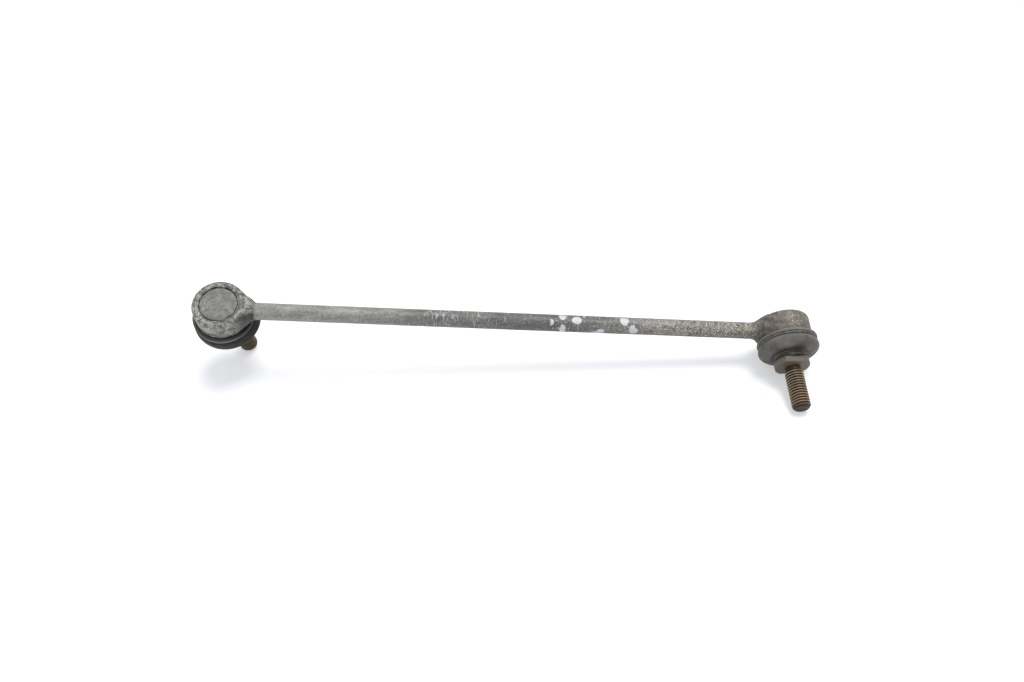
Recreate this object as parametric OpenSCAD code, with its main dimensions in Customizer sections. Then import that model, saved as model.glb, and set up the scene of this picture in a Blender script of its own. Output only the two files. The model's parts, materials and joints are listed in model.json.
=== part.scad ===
// Stabilizer link: a straight rod with a ball joint welded to each end.
// The frame is the link lying on a table: +Z up, +X along the rod from the upright end to the lying end.
// The origin is the middle of the link's outline on the table.
// Each joint is drawn about its own ball centre, with the cover at +Z, the stud at -Z and the rod at +X.
// All sizes are in millimetres.

/* [Link] */
// Distance between the axes of the two joints, along the rod
link_length = 306.4; // [200:0.2:420]
// Diameter of the rod
rod_d = 9.3; // [7:0.1:10]
// Angle between the two joints, seen along the rod
end_angle = 93; // [70:1:110]
// Lean of the lying joint away from the rod's middle
end_lean = 3.5; // [-6:0.5:8]
// Distance from a joint's axis to the weld
neck_length = 17; // [16:0.5:22]
// Diameter of the housing's neck at the weld
neck_end_d = 10.4; // [10.4:0.2:12]

/* [Housing] */
// Diameter of the housing
housing_d = 28.2; // [27:0.2:31]
// Rounding of the shoulder around the cover
shoulder_r = 2.2; // [1.2:0.1:2.8]
// Height of the rolled lip above the cover
lip_rise = 0.3; // [0.1:0.05:0.5]
// Depth of the housing's visible rim below the ball centre
rim_drop = 1.8; // [0.8:0.1:2.2]
// Height of the rod's axis above the ball centre
rod_rise = 4; // [3.6:0.1:4.4]
// Diameter of the seat that the boot is clamped to
seat_d = 25.2; // [24:0.2:26]
// Height of the seat that the boot is clamped to
seat_h = 4; // [3.9:0.1:4.4]

/* [Cover] */
// Thickness of the cover's edge, held under the rolled lip
cover_edge_t = 0.9; // [0.7:0.05:1.2]
// Thickness of the cover in the middle
cover_t = 1.6; // [1.4:0.1:2]
// Diameter of the cover's raised middle
cover_pad_d = 19.2; // [17:0.2:19.4]

/* [Bearing] */
// Diameter of the ball
ball_d = 16; // [15:0.1:16.4]
// Radial clearance of the ball in its shells
running_gap = 0.05; // [0.02:0.01:0.08]
// Wall of the shells beside the ball
shell_wall = 2.3; // [1.8:0.1:2.4]
// Thickness of the upper shell above the ball
shell_crown = 1.2; // [0.8:0.1:1.6]
// Depth of the lower shell's bottom edge below the ball centre
shell_drop = 3.6; // [2.8:0.1:3.8]
// Diameter of the grease hole in the upper shell
grease_d = 5; // [3:0.5:7]

/* [Ball stud] */
// Thread size of the stud
thread_d = 10; // [8:0.5:11]
// Length from the collar to the tip
thread_length = 24.6; // [16:0.2:36]
// Chamfer at the tip
tip_chamfer = 1.3; // [0.6:0.1:2]
// Length of the plain relief next to the collar
relief_length = 2.6; // [1:0.1:4]
// Diameter of the neck below the ball
stud_neck_d = 8.8; // [7.6:0.1:9]
// Diameter of the collar
collar_d = 18.8; // [18.2:0.2:21]
// Thickness of the collar
collar_t = 3.4; // [2.4:0.1:5]
// Depth of the collar below the ball centre
collar_drop = 14.6; // [14.3:0.1:17]
// Width across the collar's two spanner flats
spanner = 15; // [14:0.5:17]
// Diameter of the barrel that the boot turns on
barrel_d = 12.8; // [11:0.1:13]

/* [Boot] */
// Largest diameter of the upright end's boot
upright_boot_d = 35; // [33:0.2:37]
// Largest diameter of the lying end's boot
lying_boot_d = 33; // [33:0.2:37]
// Depth of the upright end's boot below the ball centre
upright_boot_drop = 12; // [11:0.1:12.2]
// Depth of the lying end's boot below the ball centre
lying_boot_drop = 11.1; // [11:0.1:12.2]
// Depth of the widest place of the upright end's boot below the ball centre
upright_bulge_drop = 8.6; // [7:0.1:9]
// Depth of the widest place of the lying end's boot below the ball centre
lying_bulge_drop = 7.2; // [7:0.1:8.4]
// Sideways push of a boot for each degree that its stud leans
boot_push = 0.1; // [0:0.01:0.12]
// Diameter of the boot's upper lip
lip_d = 32.6; // [31.4:0.2:33]
// Wall of the boot's bulge
boot_wall = 1.8; // [1.2:0.1:2]
// Wall of the boot's cuff on the housing, under its clamp ring
cuff_wall = 1.85; // [1.4:0.05:1.9]
// Wall of the boot's sleeve on the stud, under its clamp ring
sleeve_wall = 1.75; // [1.2:0.05:1.8]
// Wire of the clamp ring on the housing
band_wire = 1.4; // [1:0.1:1.5]
// Wire of the clamp ring on the stud
ring_wire = 1.2; // [0.8:0.1:1.3]
// Gap left between the boot and what it is pushed onto
boot_gap = 0.05; // [0.04:0.01:0.1]

/* [Lean of the upright end's stud] */
// Lean towards the other end
lean_along = 8.4; // [0:0.1:12]
// Lean to the side
lean_across = 3.2; // [0:0.1:8]

/* [Hidden] */
$fn = 96;
// Least space between things that move past each other
clear = 0.4;
// Swing that the mouth of the housing leaves room for, in any direction
swing = 26;
ball_r = ball_d / 2;
shell_r = ball_r + shell_wall;
bore_r = shell_r + 0.03;
cover_z = ball_r + running_gap + shell_crown;
top_z = cover_z + cover_t;
lip_top = top_z + lip_rise;
cover_r = bore_r + 0.8;
pocket_r = cover_r + 0.08;
lip_z = cover_z + cover_edge_t + 0.05;
lip_hole_r = cover_pad_d / 2 + 0.5;
housing_r = housing_d / 2;
seat_r = seat_d / 2;
seat_z = -rim_drop - seat_h;
// Room for the ball at the lower shell's edge, and for the stud's neck at full swing, there and below the seat
ball_in_r = sqrt(ball_r * ball_r - shell_drop * shell_drop);
mouth_in_r = max(ball_in_r, stud_neck_d / 2 / cos(swing) + shell_drop * tan(swing)) + clear;
mouth_out_r = stud_neck_d / 2 / cos(swing) - seat_z * tan(swing) + clear;
// Levels of the stud
barrel_z = -collar_drop + 3.2;
collar_z = -collar_drop - collar_t;
tip_depth = collar_drop + collar_t + thread_length;
relief_d = thread_d - 1.9;
// Levels of the boot, from its lip down to its sleeve
cuff_r = seat_r + boot_gap;
groove_r = cuff_r + cuff_wall;
boot_top = -rim_drop - 0.12;
groove_top = boot_top - 1.45;
groove_end = groove_top - band_wire - 0.1;
band_z = (groove_top + groove_end) / 2;
sleeve_in = barrel_d / 2 + boot_gap;
sleeve_out = sleeve_in + sleeve_wall;
sleeve_end = -collar_drop + 0.08;
ring_z = sleeve_end + 0.15 + ring_wire / 2;
// Where the lying end's boot rests on the table
rest_drop = (lying_boot_drop - groove_end) / 2;
rest_r = lying_boot_d / 2 - 0.4;
// How the link lies: on the boot and the stud tip of one end, and on the stud tip of the other
dip = atan2(rest_r - thread_d / 2, tip_depth - tip_chamfer - rest_drop);
right_height = rest_r * cos(dip) + rest_drop * sin(dip) + rod_rise * sin(dip);
right_roll = -acos((sin(dip) - sin(end_lean) * sin(5)) / cos(end_lean) / cos(5));
left_roll = right_roll + end_angle;
stud_dir = [cos(lean_across) * sin(lean_along), sin(lean_across), -cos(lean_across) * cos(lean_along)];
rolled_y = stud_dir[1] * cos(left_roll) - stud_dir[2] * sin(left_roll);
rolled_z = stud_dir[1] * sin(left_roll) + stud_dir[2] * cos(left_roll);
function fall(p) = stud_dir[0] * sin(p) - rolled_z * cos(p);
function left_rise(p) = tip_depth * fall(p) + (thread_d / 2 - tip_chamfer) * sqrt(1 - fall(p) * fall(p));
function left_height(p) = left_rise(p) + rod_rise * cos(left_roll) * cos(p);
function pitch(p) = asin((left_height(p) - right_height) / link_length);
lie_pitch = pitch(pitch(5));
front_y = -(rod_rise + tip_depth) * cos(dip) - (thread_d / 2 - tip_chamfer) * sin(dip);
back_y = rod_rise * sin(left_roll) + tip_depth * rolled_y + (thread_d / 2 - tip_chamfer) * fall(5);
// Parts of the boot's skin around the axis
boot_sides = 48;

// Places

module lying()
    translate([-link_length * cos(lie_pitch) / 2, -(front_y + back_y) / 2, left_height(lie_pitch)])
        rotate([0, lie_pitch, 0])
            children();

module left_end()
    lying()
        rotate([left_roll, 0, 0])
            translate([0, 0, -rod_rise])
                children();

module right_end(lean = end_lean)
    lying()
        translate([link_length, 0, 0])
            rotate([right_roll, 0, 0])
                rotate([0, lean, 180])
                    translate([0, 0, -rod_rise])
                        children();

module left_lean()
    rotate([lean_across, -lean_along, 0])
        children();

// Shapes, each about the ball centre of its joint

// The forged body, rounded at its shoulder, flows into the neck that the rod is welded to
module housing_blank(lean) {
    steps = 5;
    edge = [
        for (k = [0 : steps])
            [
                housing_r - shoulder_r * (1 - cos(90 * k / steps)),
                lip_top - shoulder_r * (1 - sin(90 * k / steps))
            ]
    ];
    hull() {
        rotate_extrude($fn = 64)
            polygon(concat([[0, -rim_drop], [housing_r, -rim_drop]], edge, [[0, lip_top]]));
        translate([0, 0, rod_rise])
            rotate([0, 90 - lean, 0])
                translate([0, 0, neck_length - 2.5])
                    cylinder(d = neck_end_d, h = 2.5, $fn = 32);
    }
    translate([0, 0, seat_z])
        cylinder(r = seat_r, h = seat_h + 0.5);
}

// From below: the mouth that the stud swings in, the bore for the shells,
// the pocket that holds the cover's edge and the opening inside the rolled lip
module housing_shape(lean)
    difference() {
        housing_blank(lean);
        rotate_extrude()
            polygon([
                [0, seat_z - 1],
                [mouth_out_r, seat_z - 1],
                [mouth_out_r, seat_z],
                [mouth_in_r, -shell_drop],
                [bore_r, -shell_drop],
                [bore_r, cover_z],
                [pocket_r, cover_z],
                [pocket_r, lip_z],
                [lip_hole_r, lip_z],
                [lip_hole_r, lip_top + 1],
                [0, lip_top + 1]
            ]);
    }

// A pressed disc with a thin edge and a slightly domed middle
module cover_shape()
    rotate_extrude()
        polygon([
            [0, cover_z],
            [cover_r, cover_z],
            [cover_r, cover_z + cover_edge_t],
            [cover_pad_d / 2, cover_z + cover_edge_t],
            [cover_pad_d / 2, top_z - 0.4],
            [cover_pad_d / 2 - 0.4, top_z - 0.2],
            [cover_pad_d / 4, top_z - 0.05],
            [0, top_z]
        ]);

module upper_shell_shape()
    difference() {
        translate([0, 0, 0.8])
            cylinder(r = shell_r, h = cover_z - 0.8);
        sphere(ball_r + running_gap);
        cylinder(d = grease_d, h = cover_z + 1);
    }

module lower_shell_shape()
    difference() {
        translate([0, 0, -shell_drop])
            cylinder(r = shell_r, h = shell_drop + 0.8);
        sphere(ball_r + running_gap);
    }

module stud_shape() {
    sphere(ball_r);
    // Neck, barrel, relief and threaded shank, turned in one
    rotate_extrude()
        polygon([
            [0, 0],
            [stud_neck_d / 2, 0],
            [stud_neck_d / 2, barrel_z + 2.4],
            [barrel_d / 2, barrel_z + 0.8],
            [barrel_d / 2, -collar_drop - 0.5],
            [relief_d / 2, -collar_drop - 0.5],
            [relief_d / 2, collar_z - relief_length + 0.6],
            [thread_d / 2, collar_z - relief_length],
            [thread_d / 2, tip_chamfer - tip_depth],
            [thread_d / 2 - tip_chamfer, -tip_depth],
            [0, -tip_depth]
        ]);
    // Collar with two spanner flats
    intersection() {
        translate([0, 0, collar_z])
            cylinder(d = collar_d, h = collar_t);
        translate([-collar_d, -spanner / 2, collar_z - 1])
            cube([2 * collar_d, spanner, collar_t + 2]);
    }
}

// Outline of a boot: radius, height, and how far it follows the stud
function boot_outline(d, drop, bulge) = let (
    r = d / 2,
    g = groove_end,
    b = -drop - g,
    w = boot_wall,
    in_r = r - w,
    low = ln((-bulge - g) / b) / ln(0.34)
) [
    [cuff_r, boot_top, 0],
    [lip_d / 2 - 0.5, boot_top, 0],
    [lip_d / 2, boot_top - 0.45, 0],
    [lip_d / 2 - 0.1, groove_top + 0.2, 0],
    [groove_r, groove_top, 0],
    [groove_r, g, 0],
    [r - 0.9, g - 0.15, 0.04],
    [r - 0.2, g + pow(0.17, low) * b, 0.14],
    [r, g + pow(0.34, low) * b, 0.28],
    [r - 0.35, g + pow(0.52, low) * b, 0.44],
    [r - 1.3, g + pow(0.7, low) * b, 0.6],
    [r - 2.9, g + pow(0.85, low) * b, 0.74],
    [r - 5, g + pow(0.95, low) * b, 0.86],
    [sleeve_out + 1.2, g + b, 0.95],
    [sleeve_out, g + b - 0.7, 1],
    [sleeve_out, sleeve_end, 1],
    [sleeve_in, sleeve_end, 1],
    [sleeve_in, g + b + 0.2 * w, 1],
    [sleeve_in + 1, g + b + 0.7 * w, 0.98],
    [r - 5.4, g + pow(0.95, low) * b + w, 0.85],
    [in_r - 2.2, g + pow(0.78, low) * b + 0.7 * w, 0.7],
    [in_r - 0.8, g + pow(0.6, low) * b + 0.35 * w, 0.52],
    [in_r - 0.15, g + pow(0.42, low) * b, 0.36],
    [in_r - 0.1, g + pow(0.28, low) * b, 0.22],
    [in_r - 0.7, g + pow(0.12, low) * b - 0.4, 0.08],
    [cuff_r, seat_z - 0.05, 0]
];

// One point of a boot: turned about the axis, leant by its share of the stud's lean, and pushed to that side
function lean_point(r, z, turn, share, across, along) = let (
    a = across * share,
    l = along * share,
    push = 4 * boot_push * share * (1 - share),
    x = r * cos(turn),
    y = r * sin(turn) * cos(a) - z * sin(a),
    z1 = r * sin(turn) * sin(a) + z * cos(a)
) [x * cos(l) - z1 * sin(l) + push * along, y + push * across, x * sin(l) + z1 * cos(l)];

module boot_shape(rows, across, along) {
    n = len(rows);
    s = boot_sides;
    points = [
        for (row = rows)
            for (k = [0 : s - 1])
                lean_point(row[0], row[1], 360 * k / s, row[2], across, along)
    ];
    faces = [
        for (i = [0 : n - 1])
            for (k = [0 : s - 1])
                let (j = (i + 1) % n, m = (k + 1) % s)
                    each [[i * s + k, j * s + k, j * s + m], [i * s + k, j * s + m, i * s + m]]
    ];
    polyhedron(points, faces);
}

// Clamp rings of round spring wire
module band_shape()
    translate([0, 0, band_z])
        rotate_extrude()
            translate([groove_r + 0.04 + band_wire / 2, 0])
                circle(d = band_wire, $fn = 32);

module ring_shape()
    translate([0, 0, ring_z])
        rotate_extrude()
            translate([sleeve_out + 0.04 + ring_wire / 2, 0])
                circle(d = ring_wire, $fn = 32);

// A small fillet of weld metal from the neck's end face onto the rod
module weld_shape()
    translate([neck_length, 0, rod_rise])
        rotate([0, 90, 0])
            rotate_extrude()
                polygon([
                    [rod_d / 2, 0],
                    [neck_end_d / 2 - 0.05, 0],
                    [neck_end_d / 2 - 0.1, 0.35],
                    [rod_d / 2 + 0.3, 1.1],
                    [rod_d / 2, 1.6]
                ]);

// Pieces

module rod()
    color([0.46, 0.46, 0.46])
        lying()
            translate([neck_length, 0, 0])
                rotate([0, 90, 0])
                    cylinder(d = rod_d, h = link_length - 2 * neck_length);

module left_weld()
    color([0.35, 0.32, 0.29])
        left_end()
            weld_shape();

module left_housing()
    color([0.5, 0.5, 0.49])
        left_end()
            housing_shape(0);

module left_cover()
    color([0.55, 0.55, 0.54])
        left_end()
            cover_shape();

module left_upper_shell()
    color([0.86, 0.84, 0.78])
        left_end()
            upper_shell_shape();

module left_lower_shell()
    color([0.82, 0.8, 0.74])
        left_end()
            lower_shell_shape();

module left_band()
    color([0.3, 0.3, 0.3])
        left_end()
            band_shape();

module left_boot()
    color([0.16, 0.16, 0.16])
        left_end()
            boot_shape(
                boot_outline(upright_boot_d, upright_boot_drop, upright_bulge_drop),
                lean_across,
                lean_along
            );

module left_ring()
    color([0.3, 0.3, 0.3])
        left_end()
            left_lean()
                ring_shape();

module left_ball_stud()
    color([0.36, 0.32, 0.24])
        left_end()
            left_lean()
                stud_shape();

module right_weld()
    color([0.35, 0.32, 0.29])
        right_end(0)
            weld_shape();

module right_housing()
    color([0.42, 0.4, 0.37])
        right_end()
            housing_shape(end_lean);

module right_cover()
    color([0.47, 0.45, 0.42])
        right_end()
            cover_shape();

module right_upper_shell()
    color([0.86, 0.84, 0.78])
        right_end()
            upper_shell_shape();

module right_lower_shell()
    color([0.82, 0.8, 0.74])
        right_end()
            lower_shell_shape();

module right_band()
    color([0.3, 0.3, 0.3])
        right_end()
            band_shape();

module right_boot()
    color([0.16, 0.16, 0.16])
        right_end()
            boot_shape(boot_outline(lying_boot_d, lying_boot_drop, lying_bulge_drop), 0, 0);

module right_ring()
    color([0.3, 0.3, 0.3])
        right_end()
            ring_shape();

module right_ball_stud()
    color([0.36, 0.32, 0.24])
        right_end()
            stud_shape();

rod();
left_weld();
left_housing();
left_cover();
left_upper_shell();
left_lower_shell();
left_band();
left_boot();
left_ring();
left_ball_stud();
right_weld();
right_housing();
right_cover();
right_upper_shell();
right_lower_shell();
right_band();
right_boot();
right_ring();
right_ball_stud();
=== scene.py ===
# %% [markdown]
# # A stabilizer link
# This is the short link that ties a car's stabilizer bar to its suspension:
# a rod with a sealed ball joint at each end.
# The solids were drawn elsewhere, and are loaded here as a fixed frame. This lesson gives them their looks.
# Steel pieces are turned with the spin tool, and the rubber boots are leaned to their studs.

# %% Load the frame
import json
import math

import bmesh
import bpy
from mathutils import Matrix, Vector, noise


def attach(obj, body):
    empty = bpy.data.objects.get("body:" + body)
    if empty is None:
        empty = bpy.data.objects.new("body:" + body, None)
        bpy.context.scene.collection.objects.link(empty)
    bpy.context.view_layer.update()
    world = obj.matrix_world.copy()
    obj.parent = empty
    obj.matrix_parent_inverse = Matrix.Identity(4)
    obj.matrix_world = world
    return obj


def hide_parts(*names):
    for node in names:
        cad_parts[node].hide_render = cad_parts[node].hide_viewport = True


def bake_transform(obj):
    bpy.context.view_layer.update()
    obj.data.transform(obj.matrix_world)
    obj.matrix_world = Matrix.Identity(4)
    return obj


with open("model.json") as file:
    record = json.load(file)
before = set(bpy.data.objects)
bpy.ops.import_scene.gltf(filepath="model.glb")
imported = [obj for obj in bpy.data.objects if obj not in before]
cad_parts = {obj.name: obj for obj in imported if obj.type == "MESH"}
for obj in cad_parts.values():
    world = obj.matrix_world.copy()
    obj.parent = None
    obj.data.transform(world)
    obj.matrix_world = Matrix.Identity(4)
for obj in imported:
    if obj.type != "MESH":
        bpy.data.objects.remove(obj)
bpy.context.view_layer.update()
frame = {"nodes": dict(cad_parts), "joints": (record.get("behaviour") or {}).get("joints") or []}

scene = bpy.context.scene

# %% [markdown]
# ## Where things are
# Each joint is easiest to model about its own ball centre, with the cover up, the stud down and the rod towards +X.
# A matrix then puts the finished mesh in its place, so the object itself stays at the origin.
# The sizes are in millimetres, and the matrices bring them to Blender's metres.

# %% Places
LINK_LENGTH = 306.4  # between the two joints, along the rod
ROD_RISE = 4.0  # of the rod's axis above the ball centre
NECK_LENGTH = 17.0  # from the joint's axis to the end of the rod
ROD_START = (-152.6918, 11.5622, 43.999)  # the rod's axis at the left joint
LIE_PITCH = 4.66814  # degrees that the rod slopes down to the right
ROLL = {"left": 21.2129, "right": -71.7871}  # of each joint about the rod
NECK_LEAN = {"left": 0, "right": 3.5}  # of each housing against the rod
STUD_LEAN = {"left": (3.2, 8.4), "right": (0, 0)}  # across the rod, and along it
BOOT_PUSH = 0.1  # to the side at the middle of a boot, for each degree of its stud's lean


def turn(degrees, axis):
    return Matrix.Rotation(math.radians(degrees), 4, axis)


shift = Matrix.Translation
lying = Matrix.Scale(0.001, 4) @ shift(ROD_START) @ turn(LIE_PITCH, "Y")
rod_axis = {
    "left": lying @ turn(ROLL["left"], "X"),
    "right": lying @ shift((LINK_LENGTH, 0, 0)) @ turn(ROLL["right"], "X") @ turn(180, "Z"),
}
joint = {side: rod_axis[side] @ turn(NECK_LEAN[side], "Y") @ shift((0, 0, -ROD_RISE)) for side in rod_axis}


def leaning(side, share=1.0):
    """Leans a place by its share of the stud's lean. Halfway down the boot it is also pushed to that side."""
    across, along = STUD_LEAN[side]
    push = 4 * BOOT_PUSH * share * (1 - share)
    return shift((push * along, push * across, 0)) @ turn(-along * share, "Y") @ turn(across * share, "X")


for hinge in frame["joints"]:
    side = hinge["name"].split("_")[0]
    off = (Vector(hinge["pos_m"]) - joint[side].translation).length * 1000
    print(hinge["name"], "lies", round(off, 4), "mm from its ball centre")

# %% [markdown]
# ## The camera
# The link lies on a white table and is seen from above at about 43 degrees, from half a metre away.
# A constraint could aim the camera. Here turns build its matrix, so that every angle can be read and changed:
# a camera that isn't turned looks straight down, so it is tilted up, swung round and then backed off.

# %% Camera
ELEVATION, AZIMUTH, CAMERA_ROLL = 43.005, 0.247, 1.082  # degrees
DISTANCE, LOOK_AT = 0.48533, (0.00201, 0.00272, 0.025)  # metres
FOCUS_PX, PHOTO_WIDTH = 898.0, 1024  # pixels
SENSOR = 36  # millimetres
camera_data = bpy.data.cameras.new("camera")
camera_data.sensor_width = SENSOR
camera_data.lens = FOCUS_PX * SENSOR / PHOTO_WIDTH
camera = bpy.data.objects.new("camera", camera_data)
scene.collection.objects.link(camera)
aim = turn(-AZIMUTH, "Z") @ turn(90 - ELEVATION, "X") @ turn(-CAMERA_ROLL, "Z")
camera.matrix_world = shift(LOOK_AT) @ aim @ shift((0, 0, DISTANCE))
scene.camera = camera
print("lens", round(camera_data.lens, 1), "mm")

# %% [markdown]
# ## Table and light
# The table is a big white plane.
# A wide soft lamp above it, a little behind and to the right, gives the soft shadow.
# The photograph is bright enough to wash out faint shadows. A stronger lamp would wash out the link as well,
# so the table adds a little glow instead: it is seen, and lights nothing.

# %% Helpers for colours and nodes
# The sockets of a colour's Mix node share their names, so their numbers tell them apart
SHARE, UNDER, OVER, MIXED = 0, 6, 7, 2


def linear(code):
    """An sRGB hex colour as the linear colour that shaders use."""
    parts = [int(code[i : i + 2], 16) / 255 for i in (1, 3, 5)]
    return [c / 12.92 if c <= 0.04045 else ((c + 0.055) / 1.055) ** 2.4 for c in parts] + [1.0]


def add(tree, kind, inputs=None, stops=None, **settings):
    """One node: settings are its properties, inputs are values or links, stops are a ramp's places and colours."""
    made = tree.nodes.new("ShaderNode" + kind)
    for name, value in settings.items():
        setattr(made, name, value)
    for name, value in (inputs or {}).items():
        if isinstance(value, bpy.types.NodeSocket):
            tree.links.new(value, made.inputs[name])
        else:
            made.inputs[name].default_value = value
    for i, (place, colour) in enumerate(stops or []):
        elements = made.color_ramp.elements
        stop = elements[i] if i < 2 else elements.new(place)
        stop.position = place
        stop.color = linear(colour) if isinstance(colour, str) else (colour, colour, colour, 1)
    return made


def blank(owner):
    """The owner's node tree, emptied, with its output."""
    owner.use_nodes = True
    owner.node_tree.nodes.clear()
    kind = "OutputWorld" if isinstance(owner, bpy.types.World) else "OutputMaterial"
    return owner.node_tree, add(owner.node_tree, kind)


def seen_directly(tree):
    """1 for what the camera sees straight on, in a mirror or through glass, and 0 for light on its way."""
    ray = add(tree, "LightPath").outputs
    shiny = add(tree, "Math", {0: ray["Is Camera Ray"], 1: ray["Is Glossy Ray"]}, operation="MAXIMUM")
    direct = add(tree, "Math", {0: shiny.outputs[0], 1: ray["Is Transmission Ray"]}, operation="MAXIMUM")
    return direct.outputs[0]


def per_mm(size):
    """The scale of a pattern whose grains are this many millimetres across."""
    return 1000.0 / size


# %% Table
# White laminate with a matt face: it shows no gloss, and its white is not quite even
GLOW, TABLE_HALF = 0.41, 3
table_top = bpy.data.materials.new("matt_white_laminate")
tree, out = blank(table_top)
place = add(tree, "TexCoord").outputs["Object"]
grain = add(tree, "TexNoise", {"Vector": place, "Scale": per_mm(60), "Detail": 3})
tint = add(tree, "ValToRGB", {"Fac": grain.outputs["Fac"]}, [(0.3, "#F6F7F8"), (0.7, "#FAFAFA")])
matt = add(tree, "BsdfDiffuse", {"Color": tint.outputs["Color"]})
seen = add(tree, "Math", {0: seen_directly(tree), 1: GLOW}, operation="MULTIPLY")
glow = add(tree, "Emission", {"Color": linear("#FFFFFF"), "Strength": seen.outputs[0]})
both = add(tree, "AddShader", {0: matt.outputs[0], 1: glow.outputs[0]})
tree.links.new(both.outputs[0], out.inputs["Surface"])

bm = bmesh.new()
bmesh.ops.create_grid(bm, x_segments=8, y_segments=8, size=TABLE_HALF)
table_mesh = bpy.data.meshes.new("table")
bm.to_mesh(table_mesh)
bm.free()
table_mesh.materials.append(table_top)
table = bpy.data.objects.new("table", table_mesh)
scene.collection.objects.link(table)
print("table", 2 * TABLE_HALF, "m wide, with a glow of", GLOW)

# %% Light
FILL, LAMP_ENERGY = 0.5, 1.4
LAMP_SPREAD, LAMP_TO_RIGHT, LAMP_TO_BACK = 28, 10, 8  # degrees
world = bpy.data.worlds.new("studio")
scene.world = world
tree, out = blank(world)
fill = add(tree, "Background", {"Color": linear("#F4F7FF"), "Strength": FILL})
white = add(tree, "Background", {"Color": linear("#FFFFFF"), "Strength": 1.0})
mixed = add(tree, "MixShader", {0: seen_directly(tree), 1: fill.outputs[0], 2: white.outputs[0]})
tree.links.new(mixed.outputs[0], out.inputs["Surface"])

lamp_data = bpy.data.lights.new("softbox", "SUN")
lamp_data.energy = LAMP_ENERGY
lamp_data.angle = math.radians(LAMP_SPREAD)
lamp = bpy.data.objects.new("softbox", lamp_data)
scene.collection.objects.link(lamp)
lamp.matrix_world = turn(LAMP_TO_RIGHT, "Y") @ turn(-LAMP_TO_BACK, "X")
scene.view_settings.view_transform = "Standard"
print("lamp", LAMP_ENERGY, "and fill", FILL)

# %% [markdown]
# ## Worn steel
# The housings, the covers and the welds are steel with a thin grey skin that is scuffed, and rusts here and there.
# Each could have a material of its own, but the same wear is on all of them, so one recipe makes them all:
# a cloudy base of three greys, stains, small pale scuffs with dark pits,
# and dirt and painted shade where a piece carries them.
# Both are one value that each mesh stores on its points, so they sit in the real grooves and by the real neck.

# %% Worn steel
def depth_share(z):
    """Depth below the cover as a share, for heights in the joint's own frame."""
    return (12 - z) / 20


RIM_DIRT = depth_share(-0.9), depth_share(-1.5)


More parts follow.
